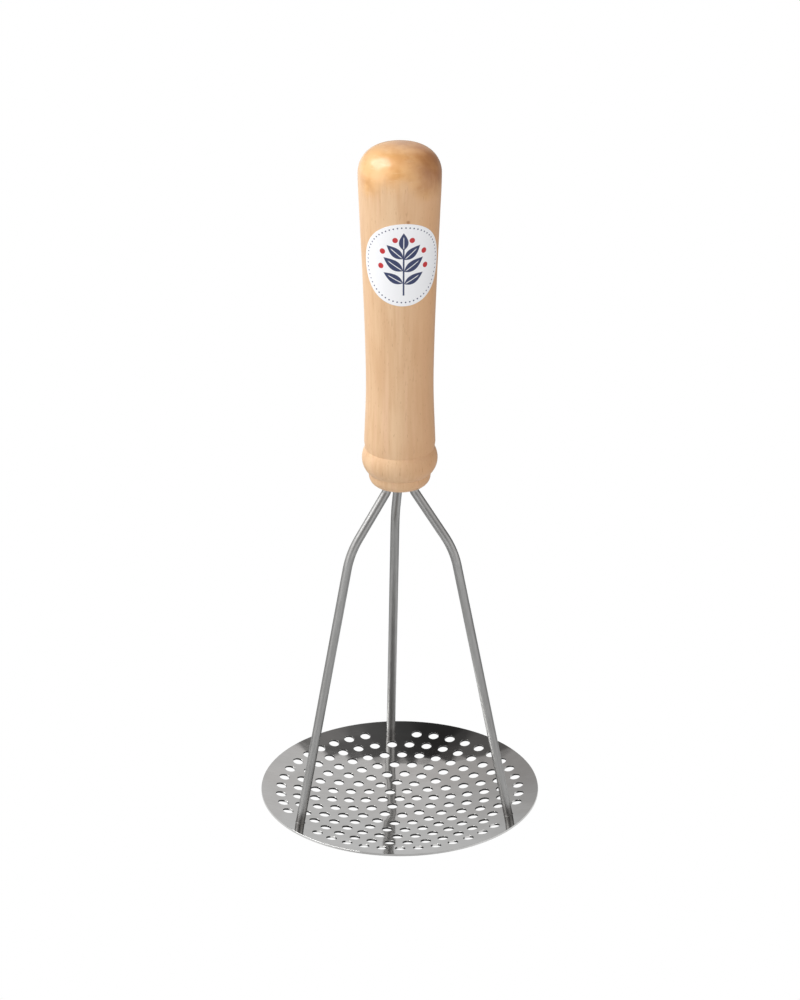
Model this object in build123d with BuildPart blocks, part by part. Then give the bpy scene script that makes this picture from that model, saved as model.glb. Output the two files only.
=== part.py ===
from build123d import *
import os
from math import asin, atan2, cos, degrees, hypot, radians, sin, sqrt, tan

os.makedirs("parts", exist_ok=True)

# Potato masher, millimetres. The origin is the centre of the plate's underside, +Z runs up the handle
# and +Y points at the back leg. The label faces -Y.

overrun = 5.0                # how far a cutting shape runs past what it cuts

# Pressing plate, a perforated disc of stainless sheet pressed into a shallow dish
plate_radius = 50.0
plate_thickness = 0.7
rim_land = 6.95              # from the middle of the last ring of holes to the rim
ring_count = 7               # rings round the centre hole, ring n with 6 n places
places_per_ring_step = 6
hole_diameter = 3.8
foot_land = 3.6              # bare metal kept between the middle of a foot and the edge of a hole
dish_radius = 215.0          # underside of the dished zone, whose centre is on the axis
knee_bend_radius = 24.0      # short bend between the flat middle and the dished zone
knee_land = 0.15             # between the knee and the first ring of holes on the dished zone
flat_ring_count = 2          # rings of holes on the flat middle

# Legs, three bent wires that stand on the last ring of holes
leg_count = 3
first_leg_angle = 90.0
wire_diameter = 3.2
leg_circle_radius = 5.2      # from the handle's axis to each leg where it enters the wood
exit_drop = 1.4              # from the handle's underside down to the corner of the first bend
shoulder_spread_share = 0.418   # corner of the shoulder bend, outwards from the first corner to the foot
shoulder_rise_share = 0.832     # and upwards from the foot to the first corner
shoulder_bend_radius = 26.0
weld_size = 0.5              # leg length of the weld fillet round each foot
wire_end_chamfer = 0.4

# Handle, one turned piece of beech
handle_bottom = 125.8        # above the surface that the plate stands on
handle_length = 124.2
collar_radius = 10.75        # short spigot under the bead
collar_rounding = 3.6
bead_low_height = 4.7        # heights above the handle's underside
bead_middle_height = 9.7
groove_height = 14.0
grip_end_height = 16.4
bead_radius = 13.15
groove_radius = 12.05
grip_end_radius = 12.35
waist_radius = 11.65
grip_top_radius = 14.2
shoulder_radius = 9.0        # rounding between the grip's widest place and the crown
crown_radius = 34.0
waist_height_share = 0.215   # of the grip's length, from its lower end
swell_shares = ((0.38, 0.094), (0.6, 0.375), (0.85, 0.785))   # height, growth from waist to top
leg_hole_depth = 32.0
leg_hole_clearance = 0.05    # all round the wire
leg_end_gap = 0.5            # between the wire's end and the bottom of its hole

# Round paper label, wrapped on the front of the handle
label_diameter = 30.0
label_thickness = 0.15
label_height_share = 0.7095  # middle of the label, of the grip's length from its lower end
label_growth_share = 0.53    # of the grip's growth from waist to top, where the label sits
label_outline_points = 24

# Section of the plate: a flat middle, a knee and a dished zone, each tangent to the next
last_ring_radius = plate_radius - rim_land
hole_pitch = last_ring_radius / ring_count
knee_end_radius = (flat_ring_count + 1) * hole_pitch - hole_diameter / 2 - knee_land
flat_radius = knee_end_radius * (1 - knee_bend_radius / dish_radius)
knee_swing = degrees(asin(knee_end_radius / dish_radius))
rim_swing = degrees(asin(plate_radius / dish_radius))
dish_centre_z = knee_bend_radius + (dish_radius - knee_bend_radius) * cos(radians(knee_swing))


def sheet_line(lift):
    # Half section of the surface that lies lift above the plate's underside, from the axis to the rim
    middle = Line((0, lift), (flat_radius, lift))
    CenterArc((flat_radius, knee_bend_radius), knee_bend_radius - lift, -90, knee_swing)
    zone = CenterArc((0, dish_centre_z), dish_radius - lift, knee_swing - 90, rim_swing - knee_swing)
    return middle @ 0, zone @ 1


def sheet_plane(radius, angle):
    # Plane square to the sheet at a place on its underside
    outward = Vector(1, 0).rotate(Axis.Z, angle)
    if radius < flat_radius:
        return Plane(origin=outward * radius)
    drop = sqrt(dish_radius ** 2 - radius ** 2)
    return Plane(
        origin=outward * radius + Vector(0, 0, dish_centre_z - drop),
        z_dir=outward * -radius + Vector(0, 0, drop),
    )


leg_angles = [first_leg_angle + 360 / leg_count * place for place in range(leg_count)]
feet = [sheet_plane(last_ring_radius, angle) for angle in leg_angles]


def clear_of_feet(place):
    return all((place.origin - foot.origin).length > foot_land + hole_diameter / 2 for foot in feet)


hole_places = [sheet_plane(0, 0)]
for ring in range(1, ring_count + 1):
    places = ring * places_per_ring_step
    hole_places += [sheet_plane(ring * hole_pitch, 360 / places * place) for place in range(places)]

with BuildPart() as plate:
    with BuildSketch(Plane.XZ):
        with BuildLine():
            low_middle, low_rim = sheet_line(0)
            high_middle, high_rim = sheet_line(plate_thickness)
            Line(low_middle, high_middle)
            Line(low_rim, high_rim)
        make_face()
    revolve(axis=Axis.Z)
    with Locations(*[place for place in hole_places if clear_of_feet(place)]):
        Cylinder(hole_diameter / 2, 2 * overrun, mode=Mode.SUBTRACT)
plate.part.label = "plate"
export_step(plate.part, "parts/plate.step")


# Outline of the handle, from the middle of its underside up to the crown
shoulder_offset = grip_top_radius - shoulder_radius
crown_drop = sqrt((crown_radius - shoulder_radius) ** 2 - shoulder_offset ** 2)
crown_centre_z = handle_bottom + handle_length - crown_radius
widest_z = crown_centre_z + crown_drop
shoulder_swing = degrees(atan2(crown_drop, shoulder_offset))
grip_bottom_z = handle_bottom + grip_end_height
grip_length = widest_z - grip_bottom_z


def grip_radius(growth_share):
    return waist_radius + growth_share * (grip_top_radius - waist_radius)


def grip_line(skin):
    # Side of the grip, moved outwards by skin
    waist_z = grip_bottom_z + waist_height_share * grip_length
    swells = [
        (grip_radius(growth_share) + skin, grip_bottom_z + height_share * grip_length)
        for height_share, growth_share in swell_shares
    ]
    return Spline(
        (grip_end_radius + skin, grip_bottom_z),
        (waist_radius + skin, waist_z),
        *swells,
        (grip_top_radius + skin, widest_z),
        tangents=[(waist_radius - grip_end_radius, waist_z - grip_bottom_z), (0, 1)],
    )


with BuildPart() as handle:
    with BuildSketch(Plane.XZ):
        with BuildLine():
            Line((0, handle_bottom), (collar_radius - collar_rounding, handle_bottom))
            rounding = CenterArc(
                (collar_radius - collar_rounding, handle_bottom + collar_rounding), collar_rounding, -90, 90
            )
            collar_side = Line(rounding @ 1, (collar_radius, handle_bottom + bead_low_height))
            bead = ThreePointArc(
                collar_side @ 1,
                (bead_radius, handle_bottom + bead_middle_height),
                (groove_radius, handle_bottom + groove_height),
            )
            Line(bead @ 1, (grip_end_radius, grip_bottom_z))
            grip_line(0)
            CenterArc((shoulder_offset, widest_z), shoulder_radius, 0, shoulder_swing)
            crown = CenterArc((0, crown_centre_z), crown_radius, shoulder_swing, 90 - shoulder_swing)
            Line(crown @ 1, (0, handle_bottom))
        make_face()
    revolve(axis=Axis.Z)
    with BuildSketch(Plane.XY.offset(handle_bottom)):
        with PolarLocations(leg_circle_radius, leg_count, start_angle=first_leg_angle):
            Circle(wire_diameter / 2 + leg_hole_clearance)
    extrude(amount=leg_hole_depth, mode=Mode.SUBTRACT)
handle.part.label = "handle"
export_step(handle.part, "parts/handle.step")


# Route of a leg in its own upright plane: straight down out of the handle, out to the shoulder bend
# and down to the plate, then on below the plate by the overrun
exit_corner_z = handle_bottom - exit_drop
foot_radius = last_ring_radius * (1 - plate_thickness / dish_radius)
foot_z = dish_centre_z - sqrt((dish_radius - plate_thickness) ** 2 - foot_radius ** 2)
shoulder_x = leg_circle_radius + shoulder_spread_share * (foot_radius - leg_circle_radius)
shoulder_z = foot_z + shoulder_rise_share * (exit_corner_z - foot_z)
upper_lean = atan2(shoulder_x - leg_circle_radius, exit_corner_z - shoulder_z)
exit_bend_radius = exit_drop / tan(upper_lean / 2)
lower_run = hypot(foot_radius - shoulder_x, shoulder_z - foot_z)
buried_foot = (
    foot_radius + (foot_radius - shoulder_x) * overrun / lower_run,
    foot_z - (shoulder_z - foot_z) * overrun / lower_run,
)
leg_top_z = handle_bottom + leg_hole_depth - leg_end_gap


def make_leg(name, angle):
    outward = Vector(1, 0).rotate(Axis.Z, angle)
    upright = Plane(origin=(0, 0, 0), x_dir=outward, z_dir=outward.rotate(Axis.Z, -90))
    with BuildPart() as leg:
        with BuildLine(upright) as route:
            FilletPolyline(
                (leg_circle_radius, leg_top_z),
                (leg_circle_radius, exit_corner_z),
                (shoulder_x, shoulder_z),
                buried_foot,
                radius=[exit_bend_radius, shoulder_bend_radius],
            )
        with BuildSketch(Plane(origin=route.line @ 0, z_dir=route.line % 0)):
            Circle(wire_diameter / 2)
        sweep()
        chamfer(leg.edges().sort_by(Axis.Z)[-1], wire_end_chamfer)
        buried_end = Plane(origin=route.line @ 1, z_dir=-(route.line % 1))
        with BuildSketch(buried_end.offset(overrun - weld_size)):
            Circle(wire_diameter / 2 + 2 * weld_size)
        extrude(amount=2 * weld_size, taper=45)
        with BuildSketch(Plane.XZ):
            with BuildLine():
                high_middle, high_rim = sheet_line(plate_thickness)
                Polyline(high_middle, (0, -2 * overrun), (high_rim.X, -2 * overrun), high_rim)
            make_face()
        revolve(axis=Axis.Z, mode=Mode.SUBTRACT)
    leg.part.label = name
    export_step(leg.part, f"parts/{name}.step")
    return leg.part


leg_names = ["leg_back", "leg_left", "leg_right"]
legs = [make_leg(name, angle) for name, angle in zip(leg_names, leg_angles)]


# The label is round when flat, so its outline narrows towards the sides where it follows the wood
label_z = grip_bottom_z + label_height_share * grip_length
label_wrap_radius = grip_radius(label_growth_share) + label_thickness
label_outline = []
for step in range(label_outline_points):
    turn = radians(360 / label_outline_points * step)
    along = label_diameter / 2 * cos(turn)
    label_outline.append(
        (label_wrap_radius * sin(along / label_wrap_radius), label_z + label_diameter / 2 * sin(turn))
    )

with BuildPart() as round_label:
    with BuildSketch(Plane.XZ):
        with BuildLine():
            side = grip_line(label_thickness)
            Polyline(side @ 1, (0, widest_z), (0, grip_bottom_z), side @ 0)
        make_face()
    revolve(axis=Axis.Z)
    with BuildSketch(Plane.XZ):
        with BuildLine():
            Spline(label_outline, periodic=True)
        make_face()
    extrude(amount=grip_top_radius + label_thickness + overrun, mode=Mode.INTERSECT)
    add(handle.part, mode=Mode.SUBTRACT)
round_label.part.label = "round_label"
export_step(round_label.part, "parts/round_label.step")
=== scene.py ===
from math import asin, atan2, cos, hypot, pi, radians, sin, sqrt, tan

import bmesh
import bpy
from mathutils import Matrix, Vector


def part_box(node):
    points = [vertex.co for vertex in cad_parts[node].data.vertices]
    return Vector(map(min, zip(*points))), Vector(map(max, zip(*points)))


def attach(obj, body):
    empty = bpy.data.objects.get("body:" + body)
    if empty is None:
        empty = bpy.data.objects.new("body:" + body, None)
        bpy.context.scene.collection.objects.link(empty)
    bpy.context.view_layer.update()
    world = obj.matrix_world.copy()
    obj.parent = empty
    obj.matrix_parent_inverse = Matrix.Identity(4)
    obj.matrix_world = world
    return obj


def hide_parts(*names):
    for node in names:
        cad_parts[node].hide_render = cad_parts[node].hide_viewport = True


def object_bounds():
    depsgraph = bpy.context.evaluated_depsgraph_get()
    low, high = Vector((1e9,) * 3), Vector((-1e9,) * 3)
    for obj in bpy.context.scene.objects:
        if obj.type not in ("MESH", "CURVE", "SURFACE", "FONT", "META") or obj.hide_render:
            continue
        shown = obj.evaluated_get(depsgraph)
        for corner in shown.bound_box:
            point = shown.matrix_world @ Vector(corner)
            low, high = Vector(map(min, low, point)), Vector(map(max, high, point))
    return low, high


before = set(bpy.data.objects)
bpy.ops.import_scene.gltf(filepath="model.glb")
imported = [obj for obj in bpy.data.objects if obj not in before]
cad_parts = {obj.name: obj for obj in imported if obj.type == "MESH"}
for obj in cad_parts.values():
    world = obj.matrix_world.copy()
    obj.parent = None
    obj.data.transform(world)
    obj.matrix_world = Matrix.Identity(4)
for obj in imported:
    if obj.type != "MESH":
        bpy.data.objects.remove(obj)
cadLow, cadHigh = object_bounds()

scene = bpy.context.scene
scene.view_settings.view_transform = "Standard"
print("frame loaded")


# Working habits shared by all pieces

mergeDistance = 0.000002     # points closer than this become one


def deselectAll():
    if bpy.context.mode != "OBJECT":
        bpy.ops.object.mode_set(mode="OBJECT")
    bpy.ops.object.select_all(action="DESELECT")


def choose(piece):
    deselectAll()
    piece.select_set(True)
    bpy.context.view_layer.objects.active = piece


def startEditing(piece):
    choose(piece)
    bpy.ops.object.mode_set(mode="EDIT")


def extrudeRing(rise, size, height=0):
    # extrudes what is selected upwards, then sizes it round the upright axis
    bpy.ops.mesh.extrude_region_move(TRANSFORM_OT_translate={"value": (0, 0, rise)})
    bpy.ops.transform.resize(value=(size, size, 1), center_override=(0, 0, height))


def joinPieces(pieces, name):
    deselectAll()
    for piece in pieces:
        piece.select_set(True)
    bpy.context.view_layer.objects.active = pieces[0]
    bpy.ops.object.join()
    joined = bpy.context.object
    joined.name = joined.data.name = name
    bpy.ops.object.transform_apply(location=True, rotation=True, scale=True)
    return joined


def copyTo(piece, place):
    twin = piece.copy()
    twin.data = piece.data.copy()
    twin.location = place
    scene.collection.objects.link(twin)
    return twin


def cleanUp(piece, smoothAngle):
    # welds doubles, turns every face outwards and smooths the gentle edges
    startEditing(piece)
    bpy.ops.mesh.select_all(action="SELECT")
    bpy.ops.mesh.remove_doubles(threshold=mergeDistance)
    bpy.ops.mesh.normals_make_consistent(inside=False)
    bpy.ops.object.mode_set(mode="OBJECT")
    bpy.ops.object.shade_smooth_by_angle(angle=radians(smoothAngle))


def handOver(piece, node, finish):
    piece.data.materials.clear()
    piece.data.materials.append(finish)
    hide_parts(node)
    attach(piece, "root")


# Shader maths as plain sums

class Signal:
    def __init__(self, finish, socket):
        self.finish = finish
        self.socket = socket

    def maths(self, operation, *values):
        sockets = dict(enumerate((self,) + values))
        return self.finish.add("ShaderNodeMath", {"operation": operation}, sockets)

    def __add__(self, other):
        return self.maths("ADD", other)

    def __sub__(self, other):
        return self.maths("SUBTRACT", other)

    def __mul__(self, other):
        return self.maths("MULTIPLY", other)

    def __truediv__(self, other):
        return self.maths("DIVIDE", other)

    def __rsub__(self, other):
        return self * -1 + other

    __radd__ = __add__
    __rmul__ = __mul__


def weigh(weights, *signals):
    # the sum of the signals, each times its weight
    parts = [signal * weight for signal, weight in zip(signals, weights)]
    total = parts[0]
    for part in parts[1:]:
        total = total + part
    return total


class Finish:
    # a node tree being wired: a material's or the world's
    def __init__(self, tree):
        self.tree = tree
        tree.nodes.clear()

    def feed(self, socket, value):
        if isinstance(value, Signal):
            self.tree.links.new(value.socket, socket)
        elif isinstance(value, tuple) and len(value) == 3 and socket.type == "RGBA":
            socket.default_value = (*value, 1)
        else:
            socket.default_value = value

    def add(self, kind, settings, sockets, output=0):
        node = self.tree.nodes.new(kind)
        for setting, value in settings.items():
            setattr(node, setting, value)
        for socket, value in sockets.items():
            self.feed(node.inputs[socket], value)
        return Signal(self, node.outputs[output] if node.outputs else None)

    def mix(self, share, first, second):
        settings = {"data_type": "RGBA"}
        return self.add("ShaderNodeMix", settings, {0: share, 6: first, 7: second}, 2)

    def step(self, value, start, end, low=0.0, high=1.0):
        # a smooth change from low to high while the value goes from start to end
        settings = {"interpolation_type": "SMOOTHSTEP"}
        sockets = {0: value, 1: start, 2: end, 3: low, 4: high}
        return self.add("ShaderNodeMapRange", settings, sockets)

    def comeIn(self, value, amount, start, end):
        # an amount that comes in while the value goes from start to end
        return self.step(value, start, end) * amount

    def spot(self):
        return self.add("ShaderNodeTexCoord", {}, {}, "Object")

    def axes(self, vector):
        parted = self.add("ShaderNodeSeparateXYZ", {}, {0: vector})
        return [Signal(self, socket) for socket in parted.socket.node.outputs]

    def noise(self, scale, detail, source=None):
        # scale is in cells per metre along X, Y and Z
        sockets = {"Vector": source or self.spot(), "Scale": scale}
        place = self.add("ShaderNodeMapping", {}, sockets)
        sockets = {"Vector": place, "Scale": 1.0, "Detail": detail}
        return self.add("ShaderNodeTexNoise", {}, sockets)

    def bump(self, height, distance, strength):
        sockets = {"Height": height, "Distance": distance, "Strength": strength}
        return self.add("ShaderNodeBump", {}, sockets)

    def surface(self, sockets):
        shader = self.add("ShaderNodeBsdfPrincipled", {}, sockets)
        self.add("ShaderNodeOutputMaterial", {}, {"Surface": shader})


def newMaterial(name):
    material = bpy.data.materials.new(name)
    material.use_nodes = True
    return material, Finish(material.node_tree)


# Camera at the photograph's viewing angle

view = {
    "place": (-0.0948, -1.222, 0.6787),
    "downTilt": 24.53,   # degrees below the horizon
    "turn": -4.44,       # degrees about the upright axis
    "lens": 139,         # millimetres, on a 36 mm sensor
    "clipStart": 0.05,
}
cameraData = bpy.data.cameras.new("camera")
cameraData.lens = view["lens"]
cameraData.clip_start = view["clipStart"]
camera = bpy.data.objects.new("camera", cameraData)
camera.location = view["place"]
camera.rotation_euler = (radians(90 - view["downTilt"]), 0, radians(view["turn"]))
scene.collection.objects.link(camera)
scene.camera = camera


# Plate: a perforated blank, pressed into a shallow dish

plate = {
    "thickness": 0.0007,
    "rimLand": 0.00695,         # from the middle of the last ring of holes to the rim
    "ringCount": 7,
    "placesPerRingStep": 6,
    "holeDiameter": 0.0038,
    "footLand": 0.0036,         # bare metal between the middle of a foot and the edge of a hole
    "flatRingCount": 2,
    "kneeLand": 0.00015,
    "kneeBend": 0.024,          # bend between the flat middle and the dished zone
    "dishRadius": 0.215,
    "edgeRounding": 0.00003,
    "holeSides": 20,
    "rimSides": 240,
    "footPatch": 0.0011,        # radius of a small disc of points under each foot
    "footPatchSides": 12,
    "smoothAngle": 25,          # degrees: gentler edges than this look smooth
}
legs = {
    "names": ("leg_back", "leg_left", "leg_right"),
    "angles": (90, 210, 330),   # degrees round the handle
    "wireDiameter": 0.0032,
    "crimp": 0.12,              # share of the wire's radius that its upper end narrows by
    "circleRadius": 0.0052,     # from the handle's axis to each wire
    "exitDrop": 0.0014,
    "shoulderSpread": 0.418,    # share of the way out to the foot
    "shoulderRise": 0.832,      # share of the way up to the handle
    "shoulderBend": 0.026,
    "weld": 0.00022,
    "weldWaves": ((3, 0.05, 0.7), (7, 0.035, 2.1)),   # round its edge: count, share and start
    "sunk": 0.0002,             # how far the foot goes into the sheet
    "sides": 32,
    "hiddenSteps": 3,           # how many lengths each run and each bend is made of
    "exitSteps": 10,
    "upperSteps": 4,
    "shoulderSteps": 12,
    "lowerSteps": 10,
    "weldSteps": 5,
    "smoothAngle": 35,
}

plateRadius = min(cadHigh.x, -cadLow.x)
lastRing = plateRadius - plate["rimLand"]
holePitch = lastRing / plate["ringCount"]
kneeEnd = (plate["flatRingCount"] + 1) * holePitch - plate["holeDiameter"] / 2 - plate["kneeLand"]
kneeSwing = asin(kneeEnd / plate["dishRadius"])
flatRadius = kneeEnd * (1 - plate["kneeBend"] / plate["dishRadius"])
kneeLength = plate["kneeBend"] * kneeSwing
dishCentre = plate["kneeBend"] + (plate["dishRadius"] - plate["kneeBend"]) * cos(kneeSwing)
legAngles = [radians(angle) for angle in legs["angles"]]


def pressed(reach, lift):
    # radius and height of a point of the blank, reach from its middle and lift above its underside
    if reach <= flatRadius:
        return reach, lift
    if reach < flatRadius + kneeLength:
        swing = (reach - flatRadius) / plate["kneeBend"]
        arm = plate["kneeBend"] - lift
        return flatRadius + arm * sin(swing), plate["kneeBend"] - arm * cos(swing)
    swing = kneeSwing + (reach - flatRadius - kneeLength) / plate["dishRadius"]
    arm = plate["dishRadius"] - lift
    return arm * sin(swing), dishCentre - arm * cos(swing)


def blankReach(radius):
    # where a radius of the finished underside lies on the blank
    if radius <= flatRadius:
        return radius
    swing = asin(radius / plate["dishRadius"]) - kneeSwing
    return flatRadius + kneeLength + plate["dishRadius"] * swing


def sheetHeight(radius):
    # height of the plate's upper side
    if radius <= flatRadius:
        return plate["thickness"]
    arm = plate["dishRadius"] - plate["thickness"]
    return dishCentre - sqrt(arm ** 2 - radius ** 2)


def cutEdge(sides, wallRadius, lip):
    # one cut edge of the blank, from its upper side down, with both corners rounded
    height, rounding = plate["thickness"], plate["edgeRounding"]
    radius = wallRadius + lip
    bpy.ops.mesh.primitive_circle_add(vertices=sides, radius=radius, location=(0, 0, height))
    edge = bpy.context.object
    bpy.ops.object.transform_apply(location=True)
    startEditing(edge)
    bpy.ops.mesh.select_all(action="SELECT")
    into = wallRadius / radius
    for down, size in ((rounding, into), (height - 2 * rounding, 1), (rounding, 1 / into)):
        extrudeRing(-down, size)
    bpy.ops.object.mode_set(mode="OBJECT")
    return edge


def makePlate():
    feet = [Vector((cos(angle), sin(angle), 0)) * blankReach(lastRing) for angle in legAngles]
    places = [Vector((0, 0, 0))]
    for ring in range(1, plate["ringCount"] + 1):
        count = ring * plate["placesPerRingStep"]
        reach = blankReach(ring * holePitch)
        for number in range(count):
            turn = 2 * pi / count * number
            places.append(Vector((reach * cos(turn), reach * sin(turn), 0)))
    clearance = plate["footLand"] + plate["holeDiameter"] / 2
    places = [spot for spot in places if all((spot - foot).length > clearance for foot in feet)]

    hole = cutEdge(plate["holeSides"], plate["holeDiameter"] / 2, plate["edgeRounding"])
    edges = [copyTo(hole, spot) for spot in places]
    bpy.data.objects.remove(hole)
    rim = cutEdge(plate["rimSides"], blankReach(plateRadius), -plate["edgeRounding"])
    patches = []
    for foot in feet:
        for height in (0, plate["thickness"]):
            bpy.ops.mesh.primitive_circle_add(
                vertices=plate["footPatchSides"], radius=plate["footPatch"], fill_type="TRIFAN",
                location=foot + Vector((0, 0, height)),
            )
            patches.append(bpy.context.object)
    blank = joinPieces([rim] + edges + patches, "perforated_plate")

    # both sides of the sheet, filled between the rim, the holes and the patches
    startEditing(blank)
    for height in (plate["thickness"], 0):
        bpy.ops.mesh.select_all(action="DESELECT")
        mesh = bmesh.from_edit_mesh(blank.data)
        for edge in mesh.edges:
            off = max(abs(vertex.co.z - height) for vertex in edge.verts)
            if edge.is_boundary and off < plate["edgeRounding"] / 4:
                edge.select = True
        bmesh.update_edit_mesh(blank.data)
        bpy.ops.mesh.fill(use_beauty=True)
    bpy.ops.object.mode_set(mode="OBJECT")

    # then the press
    for vertex in blank.data.vertices:
        reach = hypot(vertex.co.x, vertex.co.y)
        if reach > flatRadius:
            radius, height = pressed(reach, vertex.co.z)
            vertex.co = (vertex.co.x * radius / reach, vertex.co.y * radius / reach, height)
    cleanUp(blank, plate["smoothAngle"])
    return blank


# Handle: one turned piece of beech

handle = {
    "collar": 0.01075,
    "collarRounding": 0.0036,
    "beadLow": 0.0047,          # heights above the underside
    "beadMiddle": 0.0097,
    "groove": 0.014,
    "gripEnd": 0.0164,
    "beadRadius": 0.01315,
    "grooveRadius": 0.01205,
    "gripEndRadius": 0.01235,
    "waistRadius": 0.01165,
    "shoulder": 0.009,          # rounding between the grip and the crown
    "crown": 0.034,             # radius of the dome
    "waistRise": 0.215,         # share of the grip's length
    "swells": ((0.38, 0.094), (0.6, 0.375), (0.85, 0.785)),   # rise, growth from waist to top
    "boreDepth": 0.032,         # the wires' holes
    "boreClearance": 0.00005,
    "sides": 112,
    "roundingSteps": 8,
    "beadSteps": 18,
    "gripSteps": 48,
    "gripLeastSteps": 4,        # between two named places
    "shoulderSteps": 16,
    "crownSteps": 8,
    "smoothAngle": 22,
}
handleLow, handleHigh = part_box("handle")
handleBottom = handleLow.z
topRadius = min(handleHigh.x, -handleLow.x)
shoulderOffset = topRadius - handle["shoulder"]
crownDrop = sqrt((handle["crown"] - handle["shoulder"]) ** 2 - shoulderOffset ** 2)
crownCentre = handleHigh.z - handle["crown"]
widest = crownCentre + crownDrop
gripBottom = handleBottom + handle["gripEnd"]
gripLength = widest - gripBottom


def arcPoints(centre, radius, start, swing, steps):
    turns = [start + swing * step / steps for step in range(1, steps + 1)]
    return [(centre[0] + radius * cos(turn), centre[1] + radius * sin(turn)) for turn in turns]


def circleThrough(first, second, third):
    # centre and radius of the circle through three points
    (ax, ay), (bx, by), (cx, cy) = first, second, third
    size = 2 * (ax * (by - cy) + bx * (cy - ay) + cx * (ay - by))
    a, b, c = ax ** 2 + ay ** 2, bx ** 2 + by ** 2, cx ** 2 + cy ** 2
    centre = ((a * (by - cy) + b * (cy - ay) + c * (ay - by)) / size,
              (a * (cx - bx) + b * (ax - cx) + c * (bx - ax)) / size)
    return centre, hypot(ax - centre[0], ay - centre[1])


def gripPoints(steps):
    # smooth side of the grip through its named places, as (radius, height)
    growth = topRadius - handle["waistRadius"]
    rises = [0, handle["waistRise"]] + [rise for rise, _ in handle["swells"]] + [1]
    sizes = [handle["gripEndRadius"], handle["waistRadius"]]
    sizes += [handle["waistRadius"] + growth * share for _, share in handle["swells"]] + [topRadius]
    slopes = [(sizes[1] - sizes[0]) / (rises[1] - rises[0])]
    for place in range(1, len(rises) - 1):
        before = (sizes[place] - sizes[place - 1]) / (rises[place] - rises[place - 1])
        after = (sizes[place + 1] - sizes[place]) / (rises[place + 1] - rises[place])
        share = (rises[place + 1] - rises[place]) / (rises[place + 1] - rises[place - 1])
        slopes.append(before * share + after * (1 - share))
    slopes.append(0)
    points = []
    for place in range(len(rises) - 1):
        span = rises[place + 1] - rises[place]
        count = max(handle["gripLeastSteps"], round(steps * span))
        for step in range(1, count + 1):
            t = step / count
            size = (
                sizes[place] * (1 + 2 * t) * (1 - t) ** 2 + sizes[place + 1] * t * t * (3 - 2 * t)
                + span * (slopes[place] * t * (1 - t) ** 2 - slopes[place + 1] * t * t * (1 - t))
            )
            points.append((size, gripBottom + gripLength * (rises[place] + span * t)))
    return points


def handleOutline():
    bottom, rounding = handleBottom, handle["collarRounding"]
    inner = handle["collar"] - rounding
    outline = [(inner, bottom)]
    outline += arcPoints((inner, bottom + rounding), rounding, -pi / 2, pi / 2, handle["roundingSteps"])
    low = (handle["collar"], bottom + handle["beadLow"])
    bead = (handle["beadRadius"], bottom + handle["beadMiddle"])
    groove = (handle["grooveRadius"], bottom + handle["groove"])
    centre, radius = circleThrough(low, bead, groove)
    start = atan2(low[1] - centre[1], low[0] - centre[0])
    swing = atan2(groove[1] - centre[1], groove[0] - centre[0]) - start
    outline += [low] + arcPoints(centre, radius, start, swing, handle["beadSteps"])
    outline += [(handle["gripEndRadius"], gripBottom)] + gripPoints(handle["gripSteps"])
    turn = atan2(crownDrop, shoulderOffset)
    outline += arcPoints((shoulderOffset, widest), handle["shoulder"], 0, turn, handle["shoulderSteps"])
    crown = arcPoints((0, crownCentre), handle["crown"], turn, pi / 2 - turn, handle["crownSteps"])
    return outline + crown[:-1]


def makeHandle():
    outline = handleOutline()
    size, height = outline[0]
    bpy.ops.mesh.primitive_circle_add(
        vertices=handle["sides"], radius=size, fill_type="NGON", location=(0, 0, height)
    )
    turned = bpy.context.object
    turned.name = turned.data.name = "turned_handle"
    bpy.ops.object.transform_apply(location=True)
    startEditing(turned)
    bpy.ops.mesh.select_all(action="SELECT")
    for nextSize, nextHeight in outline[1:]:
        extrudeRing(nextHeight - height, nextSize / size, nextHeight)
        size, height = nextSize, nextHeight
    bpy.ops.mesh.extrude_region_move(TRANSFORM_OT_translate={"value": (0, 0, handleHigh.z - height)})
    bpy.ops.mesh.merge(type="CENTER")
    bpy.ops.object.mode_set(mode="OBJECT")

    # the three holes for the wires, drilled up from the underside
    reach, boreRadius = legs["circleRadius"], legs["wireDiameter"] / 2 + handle["boreClearance"]
    bores = []
    for angle in legAngles:
        bpy.ops.mesh.primitive_cylinder_add(
            vertices=legs["sides"], radius=boreRadius, depth=2 * handle["boreDepth"],
            location=(reach * cos(angle), reach * sin(angle), handleBottom),
        )
        bores.append(bpy.context.object)
    bore = joinPieces(bores, "bores")
    drill = turned.modifiers.new("drill", "BOOLEAN")
    drill.object = bore
    drill.operation = "DIFFERENCE"
    drill.solver = "EXACT"
    choose(turned)
    bpy.ops.object.modifier_apply(modifier="drill")
    bpy.data.objects.remove(bore)
    cleanUp(turned, handle["smoothAngle"])
    return turned


# Legs: three wires bent from their holes in the handle down to the plate

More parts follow.
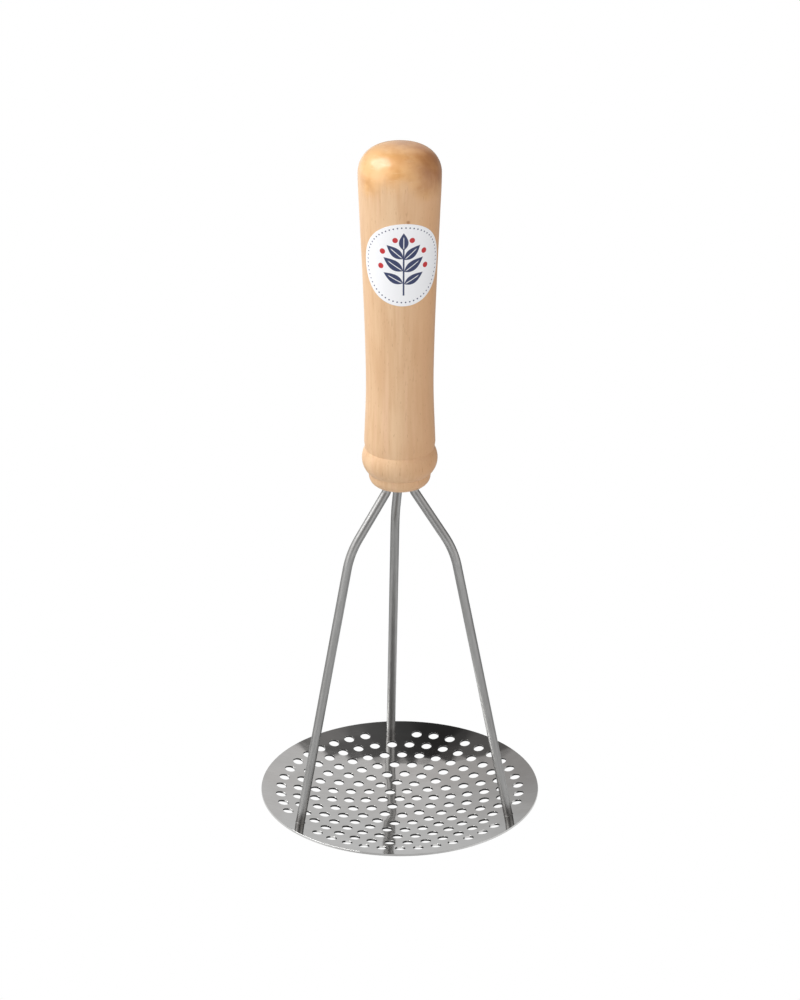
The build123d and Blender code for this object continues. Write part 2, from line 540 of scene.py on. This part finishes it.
def makeWire():
    # modelled in the plane Y = 0, standing outwards along +X, and turned into place later
    wire, innerX = legs["wireDiameter"] / 2, legs["circleRadius"]
    footRadius = lastRing * (1 - plate["thickness"] / plate["dishRadius"])
    footHeight = sheetHeight(footRadius)
    cornerHeight = handleBottom - legs["exitDrop"]
    shoulderX = innerX + legs["shoulderSpread"] * (footRadius - innerX)
    shoulderZ = footHeight + legs["shoulderRise"] * (cornerHeight - footHeight)
    upperLean = atan2(shoulderX - innerX, cornerHeight - shoulderZ)
    lowerLean = atan2(footRadius - shoulderX, shoulderZ - footHeight)
    exitBend = legs["exitDrop"] / tan(upperLean / 2)
    shoulderTangent = legs["shoulderBend"] * tan((upperLean - lowerLean) / 2)
    upperRun = hypot(shoulderX - innerX, cornerHeight - shoulderZ) - legs["exitDrop"] - shoulderTangent
    lowerRun = hypot(footRadius - shoulderX, shoulderZ - footHeight) - shoulderTangent
    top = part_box("leg_back")[1].z
    crimp = wire * legs["crimp"]

    bpy.ops.mesh.primitive_circle_add(
        vertices=legs["sides"], radius=wire - crimp, fill_type="NGON", location=(innerX, 0, top)
    )
    piece = bpy.context.object
    bpy.ops.object.transform_apply(location=True)
    startEditing(piece)
    bpy.ops.mesh.select_all(action="SELECT")
    # the pen is where the wire's end now is, its lean from straight down, and the wire used so far
    pen = {"x": innerX, "z": top, "lean": 0.0, "used": 0.0}

    def stamp():
        # keeps each point's place on the straight wire, which the drawn finish follows
        mesh = bmesh.from_edit_mesh(piece.data)
        layers = mesh.verts.layers.float_vector
        straight = layers.get("straight") or layers.new("straight")
        for vertex in mesh.verts:
            if vertex.select:
                offset = vertex.co - Vector((pen["x"], 0, pen["z"]))
                sideways = offset.x * cos(pen["lean"]) + offset.z * sin(pen["lean"])
                vertex[straight] = (sideways, vertex.co.y, -pen["used"])
        bmesh.update_edit_mesh(piece.data)

    def grow(length, size=1.0):
        move = Vector((sin(pen["lean"]), 0, -cos(pen["lean"]))) * length
        pen["x"] += move.x
        pen["z"] += move.z
        pen["used"] += length
        bpy.ops.mesh.extrude_region_move(TRANSFORM_OT_translate={"value": move})
        if size != 1.0:
            bpy.ops.transform.resize(value=(size, size, size), center_override=(pen["x"], 0, pen["z"]))
        stamp()

    def bend(swing, radius, steps):
        # swing is positive where the wire turns outwards
        arm = radius if swing > 0 else -radius
        centreX = pen["x"] + arm * cos(pen["lean"])
        centreZ = pen["z"] + arm * sin(pen["lean"])
        centre = Vector((centreX, 0, centreZ))
        for _ in range(steps):
            bpy.ops.mesh.spin(steps=1, angle=swing / steps, center=centre, axis=(0, 1, 0))
            pen["lean"] += swing / steps
            pen["x"] = centre.x - arm * cos(pen["lean"])
            pen["z"] = centre.z - arm * sin(pen["lean"])
            pen["used"] += abs(swing) / steps * radius
            stamp()

    def run(length, steps):
        for _ in range(steps):
            grow(length / steps)

    stamp()
    grow(crimp, wire / (wire - crimp))
    run(top - crimp - handleBottom, legs["hiddenSteps"])
    bend(upperLean, exitBend, legs["exitSteps"])
    run(upperRun, legs["upperSteps"])
    bend(lowerLean - upperLean, legs["shoulderBend"], legs["shoulderSteps"])
    weld, steps = legs["weld"], legs["weldSteps"]
    run(lowerRun - 2 * weld, legs["lowerSteps"])
    # the last stretch widens into the weld: a hollow fillet
    grow(weld)
    size = wire
    for step in range(1, steps + 1):
        drop = weld * (1 - step / steps)
        nextSize = wire + weld - sqrt(weld ** 2 - (weld - drop) ** 2)
        grow(weld / steps, nextSize / size)
        size = nextSize
    grow(legs["sunk"])
    bpy.ops.object.mode_set(mode="OBJECT")

    # the weld's edge follows the dish and is a little uneven
    weldStart = pen["used"] - legs["sunk"] - weld
    middle = Vector((footRadius, 0, footHeight))
    for vertex, place in zip(piece.data.vertices, piece.data.attributes["straight"].data):
        sideways, across, rise = place.vector
        past = -rise - weldStart
        if past > weld / steps / 2:
            share = min(1, past / weld)
            turn = atan2(across, sideways)
            waves = [size * sin(count * turn + start) for count, size, start in legs["weldWaves"]]
            ripple = 1 + share * sum(waves)
            offset = vertex.co - middle
            vertex.co = middle + Vector((offset.x * ripple, offset.y * ripple, offset.z))
            slope = sheetHeight(hypot(vertex.co.x, vertex.co.y)) - footHeight
            vertex.co.z += share * (slope - (vertex.co.x - footRadius) * tan(lowerLean))
    return piece


def makeLegs():
    first = makeWire()
    made = []
    for name, angle in zip(legs["names"], legAngles):
        leg = copyTo(first, (0, 0, 0))
        leg.name = leg.data.name = "bent_" + name
        leg.data.transform(Matrix.Rotation(angle, 4, "Z"))
        cleanUp(leg, legs["smoothAngle"])
        made.append(leg)
    bpy.data.objects.remove(first)
    return made


# Label: a round of coated paper, wrapped on the front of the handle

label = {
    "diameter": 0.030,
    "thickness": 0.00013,
    "rise": 0.7095,       # middle of the label, share of the grip's length
    "turn": 1.3,          # degrees round the handle, as a hand would place it
    "lift": 0.00001,      # off the wood
    "sides": 96,
    "rings": 16,
    "edgeRounding": 0.00004,
    "edgeAngle": 60,      # sharper edges than this are rounded
    "wrapSteps": 120,     # lengths of the grip's side that the paper follows
    "smoothAngle": 30,
}


def makeLabel():
    radius = label["diameter"] / 2
    bpy.ops.mesh.primitive_circle_add(vertices=label["sides"], radius=radius, location=(0, 0, 0))
    paper = bpy.context.object
    paper.name = paper.data.name = "paper_label"
    startEditing(paper)
    bpy.ops.mesh.select_all(action="SELECT")
    size = radius
    for ring in range(label["rings"] - 1, 0, -1):
        nextSize = radius * ring / label["rings"]
        extrudeRing(0, nextSize / size)
        size = nextSize
    bpy.ops.mesh.extrude_region_move(TRANSFORM_OT_translate={"value": (0, 0, 0)})
    bpy.ops.mesh.merge(type="CENTER")
    bpy.ops.mesh.select_all(action="SELECT")
    bpy.ops.mesh.normals_make_consistent(inside=False)
    bpy.ops.object.mode_set(mode="OBJECT")
    sheet = paper.modifiers.new("paper", "SOLIDIFY")
    sheet.thickness = label["thickness"]
    sheet.offset = 1
    bevel = paper.modifiers.new("edge", "BEVEL")
    bevel.width = label["edgeRounding"]
    bevel.segments = 1
    bevel.angle_limit = radians(label["edgeAngle"])
    for modifier in ("paper", "edge"):
        bpy.ops.object.modifier_apply(modifier=modifier)

    # the print's place on the flat paper, from 0 to 1 across and up
    printed = paper.data.uv_layers.new(name="print")
    for corner in paper.data.loops:
        spot = paper.data.vertices[corner.vertex_index].co
        across, up = spot.x / label["diameter"], spot.y / label["diameter"]
        printed.data[corner.index].uv = (across + 0.5, up + 0.5)

    lowest = min(vertex.co.z for vertex in paper.data.vertices)
    side = [(handle["gripEndRadius"], gripBottom)] + gripPoints(label["wrapSteps"])
    middle = gripBottom + label["rise"] * gripLength
    for vertex in paper.data.vertices:
        height = middle + vertex.co.y
        above = next(place for place, (_, z) in enumerate(side) if z >= height)
        (lowSize, lowZ), (highSize, highZ) = side[above - 1], side[above]
        wood = lowSize + (highSize - lowSize) * (height - lowZ) / (highZ - lowZ)
        arm = wood + label["lift"] + vertex.co.z - lowest
        turn = vertex.co.x / wood + radians(label["turn"])
        vertex.co = (arm * sin(turn), -arm * cos(turn), height)
    cleanUp(paper, label["smoothAngle"])
    return paper


# Finishes

beech = {
    "pale": (0.80, 0.55, 0.335),
    "warm": (0.71, 0.45, 0.255),
    "pink": (0.82, 0.53, 0.35),
    "paintedShadeRight": (0.68, 0.38, 0.195),         # painted shade: the right side of the handle, darker and redder
    "fleck": (0.38, 0.165, 0.07),
    "amber": (0.83, 0.475, 0.195),
    "amberDeep": (0.71, 0.355, 0.115),
    "brown": (0.38, 0.145, 0.04),
    "wisp": (0.84, 0.55, 0.29),
    # patterns: cells per metre along X, Y and Z, and how much detail
    "streaks": ((900, 900, 36), 4),
    "fineLines": ((3000, 3000, 150), 2),
    "bands": ((190, 190, 14), 3),
    "patches": ((120, 120, 55), 2),
    "pores": ((2500, 2500, 420), 1.5),
    "dashes": ((1500, 1500, 220), 1),
    "blushes": ((420, 420, 26), 3),
    "domeEdge": ((420, 420, 110), 3),
    "domeDrift": ((120, 120, 70), 2),
    "mottle": ((170, 170, 170), 3),
    "wisps": ((260, 260, 1300), 3),
    # where a pattern or a place across shows: share, start and full
    "blushShows": (0.4, 0.5, 0.72),
    "paintedShadeRightShows": (0.72, -0.005, 0.012),
    "dashShows": (0.32, 0.69, 0.8),
    "wispShows": (0.4, 0.60, 0.70),
    "toneWeights": (0.95, 0.18, 0.4),         # of streaks, fine lines and bands
    "toneRange": (0.34, 0.7),
    "poreRange": (0.65, 0.75),
    "poreShare": 0.30,
    "knot": ((0.0018, -0.0136, 0.2274), 0.0002, 0.0009),      # fleck: middle, full and gone
    "knotShare": 0.8,
    "domeStart": 0.2375,      # height where the dome's darker varnish begins
    "domeFade": 0.0045,
    "domeWander": (0.006, 0.016),             # by the edge's pattern and by the drift
    "domeShift": -0.011,
    "domeShare": 0.9,
    "domeCoat": (-0.001, 0.007, 0.95, 0.5),   # weaker to the right: from, to and both weights
    "mottleRange": (0.38, 0.66),
    "varnishPoolsAndShade": (                # brown varnish, and painted shade on the dome's right and top: middle, full, gone, and how much besides the mottle
        ((0.0108, -0.0060, 0.2435), 0.003, 0.016, 0.4),       # on the right of the dome
        ((0.0050, 0.0020, 0.2493), 0.002, 0.009, 0.1),        # at the back of its top
    ),
    "coat": 0.02,             # everywhere
    "coatRoughness": 0.21,
    "specular": 0.3,
    "roughness": 0.46,
    "roughnessRange": 0.16,
    "reliefWeights": (0.5, 0.5, -0.6),        # of streaks, fine lines and pores
    "relief": (0.00006, 0.3),                 # depth and strength
}


def beechFinish():
    material, wood = newMaterial("beech")
    spot = wood.spot()
    right, _, height = wood.axes(spot)

    def near(place, inner, outer):
        settings = {"operation": "DISTANCE"}
        away = wood.add("ShaderNodeVectorMath", settings, {0: spot, 1: place}, "Value")
        return wood.step(away, outer, inner)

    # long grain: bands, fine lines and short pores, all running up the handle
    streak, fine, band = (wood.noise(*beech[name]) for name in ("streaks", "fineLines", "bands"))
    patch, blush = wood.noise(*beech["patches"]), wood.noise(*beech["blushes"])
    pore = wood.step(wood.noise(*beech["pores"]), *beech["poreRange"])
    dash = wood.comeIn(wood.noise(*beech["dashes"]), *beech["dashShows"])
    tone = wood.step(weigh(beech["toneWeights"], streak * patch, fine, band), *beech["toneRange"])
    colour = wood.mix(tone, beech["pale"], beech["warm"])
    colour = wood.mix(wood.comeIn(blush, *beech["blushShows"]), colour, beech["pink"])
    # painted shade: the handle darkens and reddens towards its right side
    colour = wood.mix(wood.comeIn(right, *beech["paintedShadeRightShows"]), colour, beech["paintedShadeRight"])
    for share in (pore * beech["poreShare"], dash, near(*beech["knot"]) * beech["knotShare"]):
        colour = wood.mix(share, colour, beech["fleck"])

    # the dome: end grain under glossier, darker varnish that ends in an uneven line
    edge, drift = wood.noise(*beech["domeEdge"]), wood.noise(*beech["domeDrift"])
    ragged = weigh(beech["domeWander"], edge, drift) + beech["domeShift"]
    start, fade = beech["domeStart"], beech["domeFade"]
    dome = wood.step(ragged + height, start - fade, start + fade)
    mottle = wood.noise(*beech["mottle"])
    amber = wood.mix(wood.step(mottle, *beech["mottleRange"]), beech["amber"], beech["amberDeep"])
    wisp = wood.comeIn(wood.noise(*beech["wisps"]), *beech["wispShows"])
    amber = wood.mix(wisp, amber, beech["wisp"])
    # brown varnish pools, partly painted shade on the dome's right and top
    for place, inner, outer, amount in beech["varnishPoolsAndShade"]:
        amber = wood.mix(near(place, inner, outer) * (mottle + amount), amber, beech["brown"])
    relief = weigh(beech["reliefWeights"], streak, fine, pore)
    wood.surface({
        "Base Color": wood.mix(dome * beech["domeShare"], colour, amber),
        "Specular IOR Level": beech["specular"],
        "Roughness": (fine - 0.5) * beech["roughnessRange"] + beech["roughness"],
        "Normal": wood.bump(relief, *beech["relief"]),
        "Coat Weight": dome * wood.step(right, *beech["domeCoat"]) + beech["coat"],
        "Coat Roughness": beech["coatRoughness"],
    })
    return material


drawnWire = {
    "tones": ((0.34, 0.34, 0.335), (0.42, 0.42, 0.415)),      # darker and lighter
    "toneWeights": (0.6, 0.4),            # of drawn and cloud
    "toneRange": (0.35, 0.7),
    "drawn": ((5200, 5200, 60), 3),       # cells per metre across and along the wire, and detail
    "cloud": ((700, 700, 160), 2),
    # painted shade: the wire is darker near its foot, where it meets the plate
    "paintedFootShade": (0.17, 0.165, 0.16),
    "paintedFootShadeRange": (0.0056, 0.0014),      # how far up from the foot the painted shade reaches
    "paintedFootShadeWander": 0.002,
    "paintedFootShadeShare": 0.85,
    "roughness": 0.42,
    "roughnessRange": 0.14,
    "relief": (0.00002, 0.4),             # depth and strength
}


def wireFinish(leg):
    material, metal = newMaterial("drawnWire")
    straight = metal.add("ShaderNodeAttribute", {"attribute_name": "straight"}, {}, "Vector")
    drawn = metal.noise(*drawnWire["drawn"], straight)
    cloud = metal.noise(*drawnWire["cloud"], straight)
    tone = metal.step(weigh(drawnWire["toneWeights"], drawn, cloud), *drawnWire["toneRange"])
    foot = min(point.vector[2] for point in leg.data.attributes["straight"].data)
    # painted shade near the foot, with a slightly uneven upper edge
    above = metal.axes(straight)[2] - foot + (cloud - 0.5) * drawnWire["paintedFootShadeWander"]
    paintedFootShade = metal.step(above, *drawnWire["paintedFootShadeRange"]) * drawnWire["paintedFootShadeShare"]
    metal.surface({
        "Base Color": metal.mix(paintedFootShade, metal.mix(tone, *drawnWire["tones"]), drawnWire["paintedFootShade"]),
        "Metallic": 1.0,
        "Roughness": (drawn - 0.5) * drawnWire["roughnessRange"] + drawnWire["roughness"],
        "Normal": metal.bump(drawn, *drawnWire["relief"]),
    })
    return material


rolledSheet = {
    "tones": ((0.58, 0.575, 0.565), (0.64, 0.638, 0.63)),     # darker and lighter
    "toneWeights": (0.5, 0.5),            # of rolled and cloud
    "toneRange": (0.35, 0.65),
    "rolled": ((240, 5200, 240), 3),      # cells per metre along X, Y and Z, and detail
    "cloud": ((150, 150, 150), 3),
    "wave": ((70, 70, 70), 1),
    "roughness": 0.055,
    "roughnessRange": 0.05,
    "reliefWeights": (0.12, 0.45),        # of rolled and wave
    "relief": (0.00003, 0.6),             # depth and strength
}


def plateFinish():
    material, metal = newMaterial("rolledSheet")
    rolled, cloud, wave = (metal.noise(*rolledSheet[name]) for name in ("rolled", "cloud", "wave"))
    tone = metal.step(weigh(rolledSheet["toneWeights"], rolled, cloud), *rolledSheet["toneRange"])
    relief = weigh(rolledSheet["reliefWeights"], rolled, wave)
    metal.surface({
        "Base Color": metal.mix(tone, *rolledSheet["tones"]),
        "Metallic": 1.0,
        "Roughness": (rolled - 0.5) * rolledSheet["roughnessRange"] + rolledSheet["roughness"],
        "Normal": metal.bump(relief, *rolledSheet["relief"]),
    })
    return material


# The label's print: a leaf sprig with berries inside a dotted edge, in millimetres from its middle
sprig = {
    "paper": (0.91, 0.92, 0.945),
    "navy": (0.028, 0.042, 0.12),
    "red": (0.55, 0.025, 0.03),
    "stem": (-11.0, 6.0, 0.28),                   # foot, tip and half width
    "leaves": (                                   # foot across and up, lean in degrees, length, width
        (0.0, 5.4, 90, 6.4, 3.3),
        (0.15, 2.0, 41, 7.6, 3.3), (-0.15, 2.3, 139, 7.6, 3.3),
        (0.15, -2.4, 35, 8.4, 3.5), (-0.15, -2.1, 145, 8.4, 3.5),
        (0.15, -6.9, 29, 7.8, 3.2), (-0.15, -6.6, 151, 7.8, 3.2),
    ),
    "berries": (                                  # across, up and radius
        (2.9, 8.9, 0.95), (-2.9, 9.1, 0.95),
        (7.3, 4.6, 1.0), (-7.3, 4.8, 1.0),
        (7.9, -0.8, 1.0), (-7.9, -0.6, 1.0),
    ),
    "leafShape": (2.6, 1.2),                      # fullness, and how much less of it at the tip
    "rib": (0.13, 0.1, 0.72),                     # half width, and where on the leaf it starts and ends
    "dots": (60, 13.6, 0.26),                     # count, ring radius and dot radius
    "softness": 0.07,
    "fibre": ((4000, 4000, 4000), 3),             # cells per metre, and detail
    "specular": 0.45,
    "roughness": 0.42,
    "roughnessRange": 0.1,
    "relief": (0.00001, 0.3),                     # depth in metres, and strength
}


def labelFinish():
    material, ink = newMaterial("printedPaper")
    flat = ink.add("ShaderNodeUVMap", {"uv_map": "print"}, {})
    across, up = ((axis - 0.5) * (label["diameter"] * 1000) for axis in ink.axes(flat)[:2])
    soft = sprig["softness"]
    full, narrowing = sprig["leafShape"]
    ribWidth, ribStart, ribEnd = sprig["rib"]

    def within(distance):
        return ink.step(distance, -soft, soft)

    def either(first, second):
        return first.maths("MAXIMUM", second)

    def length(first, second):
        return (first * first + second * second).maths("SQRT")

    foot, tip, half = sprig["stem"]
    navy = within(half - across.maths("ABSOLUTE")) * within(up - foot) * within(tip - up)
    for x, y, lean, leaf, width in sprig["leaves"]:
        turn = radians(lean)
        along = ((across - x) * cos(turn) + (up - y) * sin(turn)) / leaf
        aside = ((up - y) * cos(turn) - (across - x) * sin(turn)).maths("ABSOLUTE")
        inside = along.maths("MAXIMUM", 0).maths("MINIMUM", 1)
        outline = inside * (1 - inside) * (full - inside * narrowing) * width - soft
        rib = within(ribWidth - aside) * within(along - ribStart) * within(ribEnd - along)
        navy = either(navy, within(outline - aside) * (1 - rib))
    count, ring, dot = sprig["dots"]
    part = (up.maths("ARCTAN2", across) * (count / (2 * pi))).maths("FRACT") - 0.5
    aside = part * (2 * pi * ring / count)
    navy = either(navy, within(dot - length(aside, length(across, up) - ring)))
    colour = ink.mix(navy, sprig["paper"], sprig["navy"])
    for x, y, size in sprig["berries"]:
        colour = ink.mix(within(size - length(across - x, up - y)), colour, sprig["red"])
    fibre = ink.noise(*sprig["fibre"])
    ink.surface({
        "Base Color": colour,
        "Specular IOR Level": sprig["specular"],
        "Roughness": (fibre - 0.5) * sprig["roughnessRange"] + sprig["roughness"],
        "Normal": ink.bump(fibre, *sprig["relief"]),
    })
    return material


# The pieces

plateSheet = makePlate()
print("plate made", len(plateSheet.data.polygons))
turnedHandle = makeHandle()
print("handle made", len(turnedHandle.data.polygons))
bentLegs = makeLegs()
print("legs made", len(bentLegs[0].data.polygons))
paperLabel = makeLabel()
print("label made", len(paperLabel.data.polygons))

handOver(plateSheet, "plate", plateFinish())
handOver(turnedHandle, "handle", beechFinish())
wireMaterial = wireFinish(bentLegs[0])
for leg, node in zip(bentLegs, legs["names"]):
    handOver(leg, node, wireMaterial)
handOver(paperLabel, "round_label", labelFinish())
print("finishes given")


# Studio: white all round for the camera. The steel and the wood see a floor that is dark under the
# plate, bright round it and grey farther off. Behind is a wall that ends at a dark ceiling. In front
# is a broad glow from the left, a weaker one from the right and a dark patch round the camera.

studio = {
    "floorSize": 30,
    "floorDrop": 0.00005,         # below the plate
    "floorShade": 0.05,           # under the plate
    "floorRim": 0.95,             # just outside the plate
    "floorFar": 0.36,
    "rimRange": (-0.004, 0.006),  # from the plate's rim, where the shade ends
    "farRange": (0.08, 0.17),     # from the middle
    # lighter stretches of floor: how much, start and full
    "floorFront": (0.30, -0.08, -0.2),
    "floorAhead": (0.80, -0.28, -0.6),
    "floorLeft": (0.10, -0.3, -0.7),
    "floorBackLeft": (0.60, 0.0, -0.09),      # what the handle's left edge sees
    "floorBackRange": (0.22, 0.34),
    # the wall and the ceiling, by the direction's X: how much, start and full
    "wall": 0.26,
    "wallMiddle": (0.44, -0.25, 0.09),
    "wallLeft": (0.35, -0.27, -0.7),
    "wallRight": (-0.48, 0.26, 0.56),         # darker there
    "wallTop": 0.655,             # sine of the height where the ceiling begins
    "wallTopDrift": 0.09,         # higher to the right
    "wallTopWander": 0.07,
    "wallTopCells": ((9, 9, 9), 3),           # of its wavy edge, and detail
    "wallTopEdge": 0.018,
    "ceiling": (0.42, 0.6, 0.03, 0.13),       # range of its pattern, darkest and lightest
    "ceilingCells": ((4, 4, 4), 1),
    "ceilingRight": (0.10, -0.02, 0.15),
    # in front: strength, how narrow, and the direction it comes from
    "glow": (1.90, 4, (-0.96, -0.27, 0.08)),
    "fill": (1.0, 2, (0.93, -0.35, 0.10)),
    "high": (0.40, 3, (-0.20, -0.35, 0.91)),
    "cameraDark": (-0.60, 6, (-0.15, -0.79, 0.60)),
    "front": 0.34,
    "frontLeast": 0.05,
    "sideRange": (-0.25, 0.25),   # where the front turns into the wall
    "tint": (1.0, 0.965, 0.95),
    "tintRange": (0.4, 0.65),
    "tintCells": ((2.2, 2.2, 2.2), 1),
    "windowPlace": (-0.73, 0.13, 1.15),
    "windowTarget": (0, 0, 0.2),
    "windowSize": 0.86,
    "windowPower": 13.0,
}


def whiteForCamera(finish, kind, colour, strength, output):
    # pure white where the camera looks straight at it, and the given light for all else
    seen = finish.add("ShaderNodeLightPath", {}, {}, "Is Camera Ray")
    given = finish.add(kind, {}, {"Color": colour, "Strength": strength})
    white = finish.add(kind, {}, {"Color": (1, 1, 1), "Strength": 1.0})
    blend = finish.add("ShaderNodeMixShader", {}, {0: seen, 1: given, 2: white})
    finish.add(output, {}, {"Surface": blend})


def makeFloor():
    bpy.ops.mesh.primitive_plane_add(size=studio["floorSize"], location=(0, 0, -studio["floorDrop"]))
    floor = bpy.context.object
    floor.name = "floor"
    material, pale = newMaterial("paleFloor")
    spot = pale.spot()
    across, along, _ = pale.axes(spot)
    away = pale.add("ShaderNodeVectorMath", {"operation": "LENGTH"}, {0: spot}, "Value")
    rim, far = studio["floorRim"], studio["floorFar"]
    start, end = (plateRadius + reach for reach in studio["rimRange"])
    tone = pale.step(away, start, end, studio["floorShade"], rim)
    tone = tone - pale.step(away, *studio["farRange"], 0, rim - far)
    tone = tone + pale.comeIn(along, *studio["floorFront"])
    tone = tone + pale.comeIn(along, *studio["floorAhead"])
    tone = tone + pale.comeIn(across, *studio["floorLeft"])
    back = pale.step(along, *studio["floorBackRange"])
    tone = tone + back * pale.comeIn(across, *studio["floorBackLeft"])
    whiteForCamera(pale, "ShaderNodeEmission", (1, 1, 1), tone, "ShaderNodeOutputMaterial")
    floor.data.materials.append(material)


def makeSurroundings():
    world = bpy.data.worlds.new("surroundings")
    world.use_nodes = True
    scene.world = world
    sky = Finish(world.node_tree)
    direction = sky.add("ShaderNodeTexCoord", {}, {}, "Generated")
    x, y, z = sky.axes(direction)
    wander = (sky.noise(*studio["wallTopCells"], direction) - 0.5) * studio["wallTopWander"]
    top = x * studio["wallTopDrift"] + wander + studio["wallTop"]
    above = sky.step(z - top, 0, studio["wallTopEdge"])
    wall = sky.comeIn(x, *studio["wallMiddle"]) + studio["wall"]
    wall = wall + sky.comeIn(x, *studio["wallLeft"]) + sky.comeIn(x, *studio["wallRight"])
    ceiling = sky.step(sky.noise(*studio["ceilingCells"], direction), *studio["ceiling"])
    ceiling = ceiling + sky.comeIn(x, *studio["ceilingRight"])
    behind = wall * (1 - above) + ceiling * above

    front = studio["front"]
    for source in ("glow", "fill", "high", "cameraDark"):
        strength, narrowness, (across, along, upwards) = studio[source]
        facing = (x * across + y * along + z * upwards).maths("MAXIMUM", 0)
        front = facing.maths("POWER", narrowness) * strength + front
    share = sky.step(y, *studio["sideRange"])
    tone = behind * share + front.maths("MAXIMUM", studio["frontLeast"]) * (1 - share)
    tinted = sky.step(sky.noise(*studio["tintCells"], direction), *studio["tintRange"])
    colour = sky.mix(tinted, (1, 1, 1), studio["tint"])
    whiteForCamera(sky, "ShaderNodeBackground", colour, tone, "ShaderNodeOutputWorld")


def addWindow():
    data = bpy.data.lights.new("window", "AREA")
    data.size = studio["windowSize"]
    data.energy = studio["windowPower"]
    light = bpy.data.objects.new("window", data)
    light.location = studio["windowPlace"]
    inwards = Vector(studio["windowTarget"]) - light.location
    light.rotation_euler = inwards.to_track_quat("-Z", "Y").to_euler()
    scene.collection.objects.link(light)


makeFloor()
makeSurroundings()
addWindow()
print("studio set")
